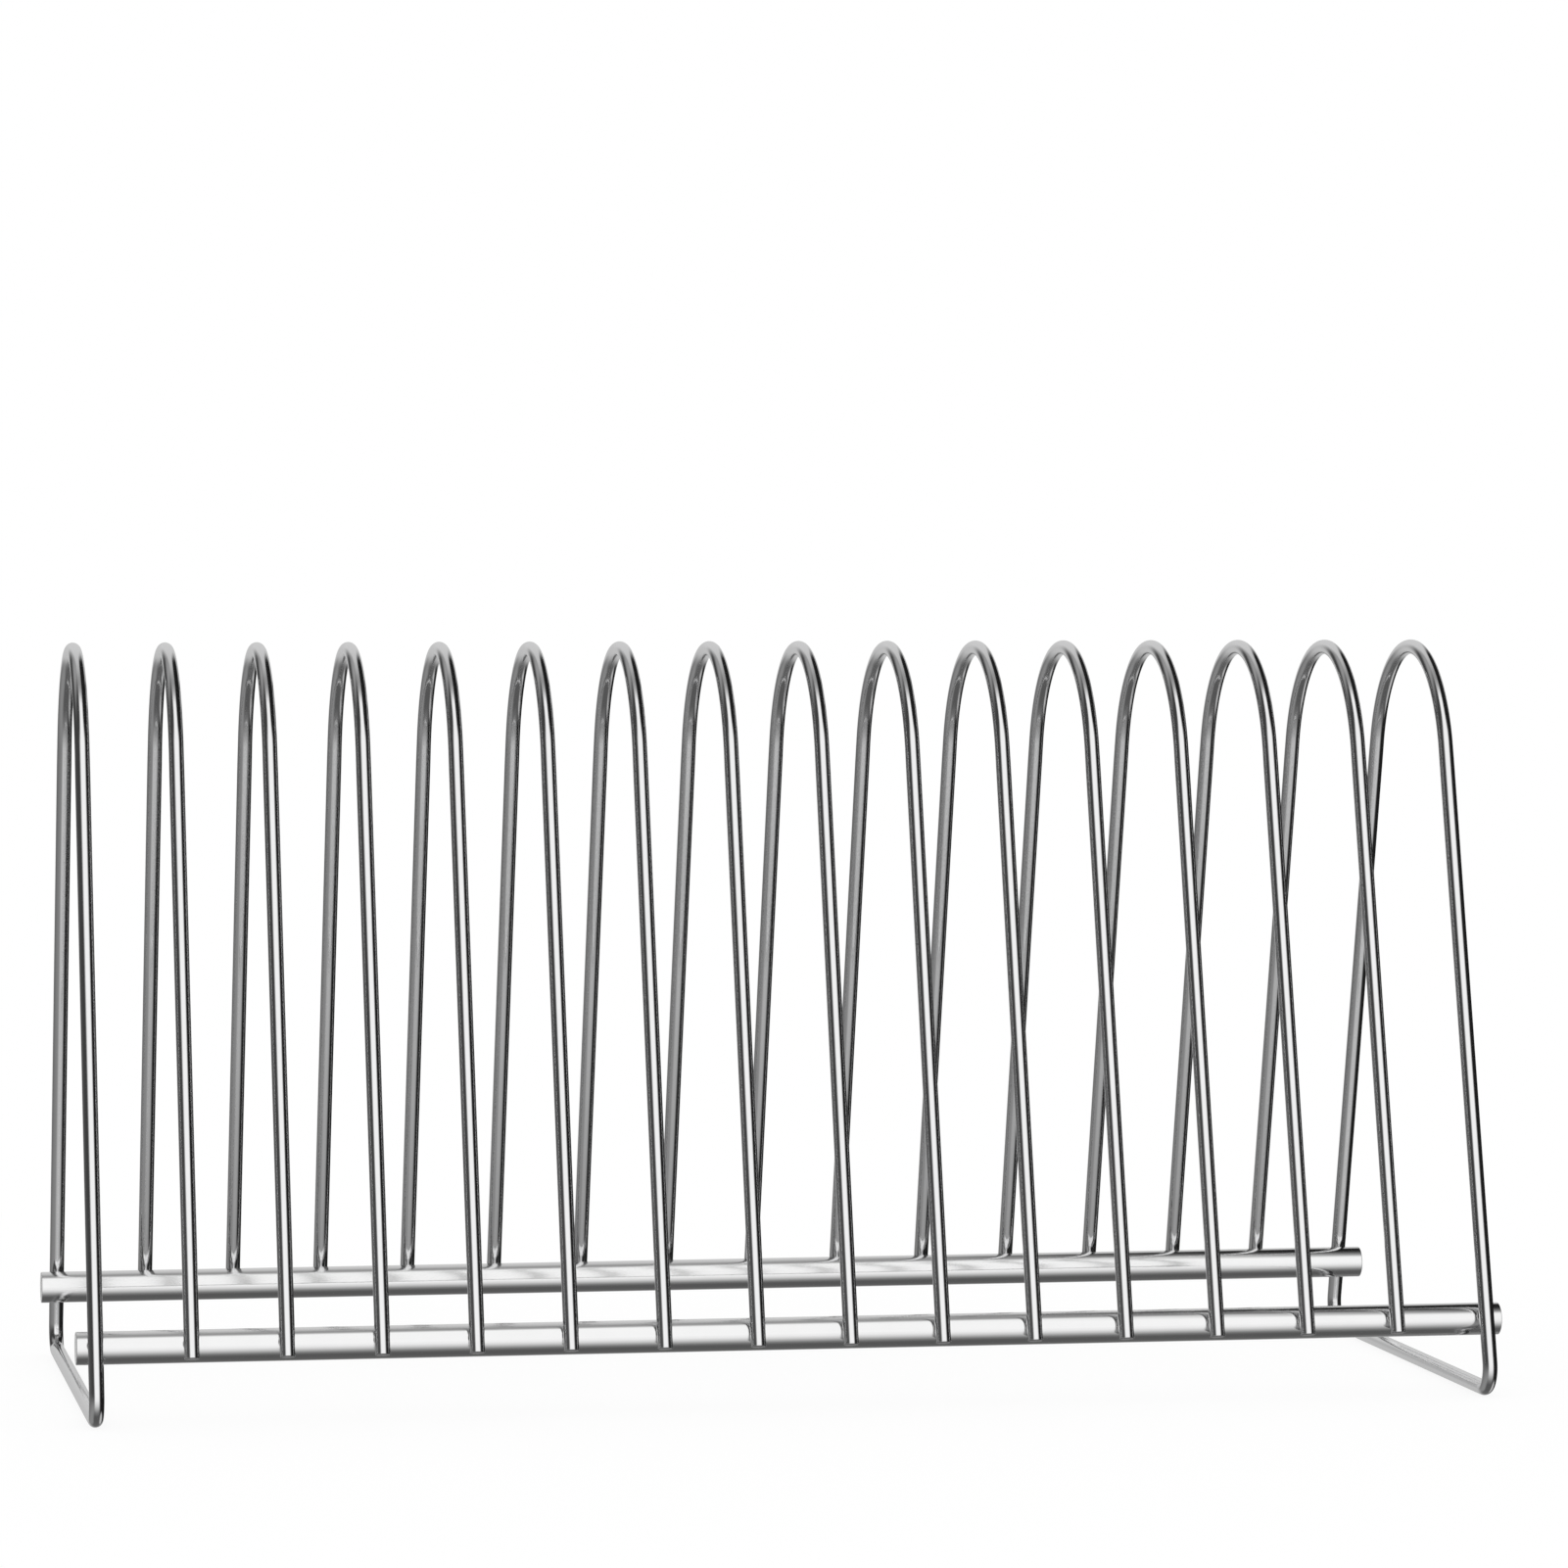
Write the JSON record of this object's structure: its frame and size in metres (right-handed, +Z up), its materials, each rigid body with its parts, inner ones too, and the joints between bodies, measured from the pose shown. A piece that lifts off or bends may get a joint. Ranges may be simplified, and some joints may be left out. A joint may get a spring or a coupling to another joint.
{
  "type": "record storage stand",
  "caption": "Welded wire stand whose row of tall rounded hoops, tied by thick cross rods, holds records upright in the slots between them.",
  "frame": {"origin": "middle of the footprint, on the floor that the two bottom bars rest on", "axes": "+X along the row of hoops from the left end frame to the right one, +Y from the front rod to the rear rod, +Z up"},
  "size_m": [0.4154, 0.18, 0.22],
  "materials": {
    "polished_wire": "mirror-polished drawn wire with faint drawing lines",
    "polished_rod": "mirror-polished solid rod, ends cut flat",
    "weld": "electropolished weld metal, slightly duller than the wire"
  },
  "bodies": {
    "root": {"front_rod": "polished_rod", "rear_rod": "polished_rod", "left_end_frame": "polished_wire", "right_end_frame": "polished_wire", "arch_01": "polished_wire", "arch_02": "polished_wire", "arch_03": "polished_wire", "arch_04": "polished_wire", "arch_05": "polished_wire", "arch_06": "polished_wire", "arch_07": "polished_wire", "arch_08": "polished_wire", "arch_09": "polished_wire", "arch_10": "polished_wire", "arch_11": "polished_wire", "arch_12": "polished_wire", "arch_13": "polished_wire", "arch_14": "polished_wire", "front_rod_welds": "weld", "rear_rod_welds": "weld"}
  },
  "joints": []
}
